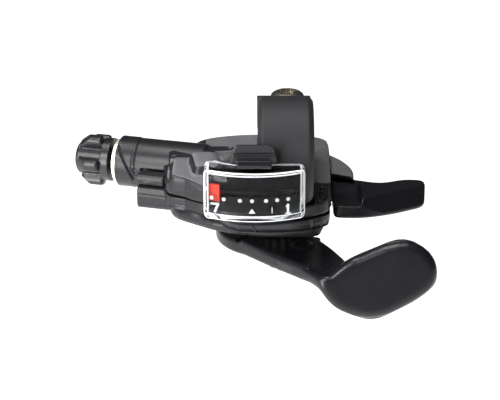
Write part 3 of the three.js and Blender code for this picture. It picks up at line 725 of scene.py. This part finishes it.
def dial_print():
    """A row of seven dots, with 7, a triangle, a tick and 1 below it."""
    shape = bmesh.new()
    for degrees in DOT_PLACES:
        dot(shape, degrees)
    stroke(shape, [(-26.6, -7.6), (-21.2, -7.4)], 0.5)
    stroke(shape, [(-21.6, -7.4), (-22.8, -8.5), (-24, -9.8)], 0.6)
    stroke(shape, [(20.1, -7.3), (20.1, -9.85)], 0.62)
    stroke(shape, [(18.9, -8.1), (20.1, -7.5)], 0.45)
    stroke(shape, [(18.4, -9.85), (21.9, -9.85)], 0.42)
    printed(shape, [(-3.4, -9.35), (0.6, -9.35), (-1.4, -8.05)])
    stroke(shape, [(10.4, -7.9), (10.4, -9.45)], 0.22)
    bmesh.ops.recalc_face_normals(shape, faces=shape.faces)
    mesh = bpy.data.meshes.new("dial_print")
    shape.to_mesh(mesh)
    shape.free()
    piece = new_piece("dial_print", mesh, body="root", finish=PRINT_WHITE)


def is_lens_corner(edge):
    """Whether an edge runs from front to back at one of the lens's four corners."""
    a, b = edge.verts[0].co / MM, edge.verts[1].co / MM
    for v in (a, b):
        at_side = abs(abs(v.x - DIAL_X) - LENS_HALF_WIDTH) < 0.1
        at_rim = min(abs(v.z - LENS_TOP), abs(v.z - LENS_FOOT)) < 0.1
        if not (at_side and at_rim):
            return False
    return abs(a.y - b.y) > 1


def gauge_lens():
    """Clear faces, rounded corners, and near-white bevelled rims: a painted highlight where the lens's edges
    catch the light.
    """
    piece = new_piece("gauge_lens_clear", frame["nodes"]["gauge_lens"].data.copy(), "gauge_lens")
    piece.data.materials.append(LENS_RIM_HIGHLIGHT)
    weld = piece.modifiers.new("weld", "WELD")
    weld.merge_threshold = 0.01 * MM
    flat = piece.modifiers.new("flat", "DECIMATE")
    flat.decimate_type = "DISSOLVE"
    flat.angle_limit = math.radians(1)
    applied(piece)
    shape = bmesh.new()
    shape.from_mesh(piece.data)
    corners = [edge for edge in shape.edges if is_lens_corner(edge)]
    bmesh.ops.bevel(shape, geom=corners, offset=1.5 * MM, segments=5, profile=0.5, affect="EDGES",
                    clamp_overlap=False)
    shape.to_mesh(piece.data)
    shape.free()
    bevel = piece.modifiers.new("bevel", "BEVEL")
    bevel.width = 0.3 * MM
    bevel.segments = 3
    bevel.use_clamp_overlap = False
    bevel.limit_method = "ANGLE"
    bevel.angle_limit = math.radians(40)
    # The bevels take the near-white painted highlight colour.
    bevel.material = 1
    applied(piece)
    piece.data.set_sharp_from_angle(angle=math.radians(50))
    smooth_faces(piece.data)


def gauge_housing():
    piece = moulded("gauge_housing", 0.18, 2)
    places, _ = points(piece)
    x, _, z = places.T
    # Its shoulders slope down from the latch to the corners of the lens.
    top = np.interp(x, [-20.9, -20.2, -14, -13, -8.3, -7.9, 0, 4.8], [0.8, 3.5, 4.9, 5.4, 5.4, 4.0, 4.0, 1.8])
    places[:, 2] = np.where(z > 0.4, 0.4 + (z - 0.4) * (top - 0.4) / 3.6, z)
    place_points(piece, places)


def lens_latch():
    piece = moulded("lens_latch", 0.14, 2)
    line_mark(piece, [(-14, -16.2, 4.6), (-2, -16.2, 4.6)], 0.5, -0.25, FRONT)


upper_cover()
lower_housing()
cable_hatch()
adjuster_socket()
barrel_adjuster()
push_lever()
release_lever()
clamp_band()
clamp_bolt()
dial_print()
gauge_lens()
gauge_housing()
lens_latch()


# ---- stage and light ----------------------------------------------------------------
FLOOR_Z = -0.3                            # metres
FLOOR_HALF_WIDTH = 6                      # metres
FLOOR_GLOW = 1.0
WORLD_LIGHT = 0.04
LAMPS = (                                 # name, place and size in metres, power in watts
    ("left", (-0.42, -0.4, 0.0), (0.3, 0.25), 3.9),
    ("left_high", (-0.3, -0.42, 0.34), (0.2, 0.2), 3.0),
    ("above", (-0.1, 0.0, 0.6), (0.4, 0.3), 3.8),
)


def floor():
    """A white light table, so the background stays pale from every side."""
    shape = bmesh.new()
    bmesh.ops.create_grid(shape, x_segments=8, y_segments=8, size=FLOOR_HALF_WIDTH)
    mesh = bpy.data.meshes.new("floor")
    shape.to_mesh(mesh)
    shape.free()
    plane = bpy.data.objects.new("floor", mesh)
    plane.location.z = FLOOR_Z
    scene.collection.objects.link(plane)
    white = material("floor", (0.9, 0.9, 0.9), 0.9, grain=50, bump=0.0, mottle=0.01)
    shader = white.node_tree.nodes["Principled BSDF"]
    shader.inputs["Emission Color"].default_value = (1, 1, 1, 1)
    shader.inputs["Emission Strength"].default_value = FLOOR_GLOW
    plane.data.materials.append(white)


def softbox(name, place, size, power):
    """A soft lamp that faces the shifter and isn't seen itself."""
    lamp = bpy.data.lights.new(name, "AREA")
    lamp.shape = "RECTANGLE"
    lamp.size, lamp.size_y = size
    lamp.energy = power
    box = bpy.data.objects.new(name, lamp)
    box.location = place
    box.rotation_euler = (TARGET - Vector(place)).to_track_quat("-Z", "Y").to_euler()
    box.visible_camera = False
    scene.collection.objects.link(box)


def studio():
    """An even, weak light from all round."""
    world = bpy.data.worlds.new("studio")
    scene.world = world
    world.use_nodes = True
    background = world.node_tree.nodes["Background"]
    background.inputs["Color"].default_value = (1, 1, 1, 1)
    background.inputs["Strength"].default_value = WORLD_LIGHT


floor()
studio()
for lamp in LAMPS:
    softbox(*lamp)
scene.view_settings.view_transform = "Standard"
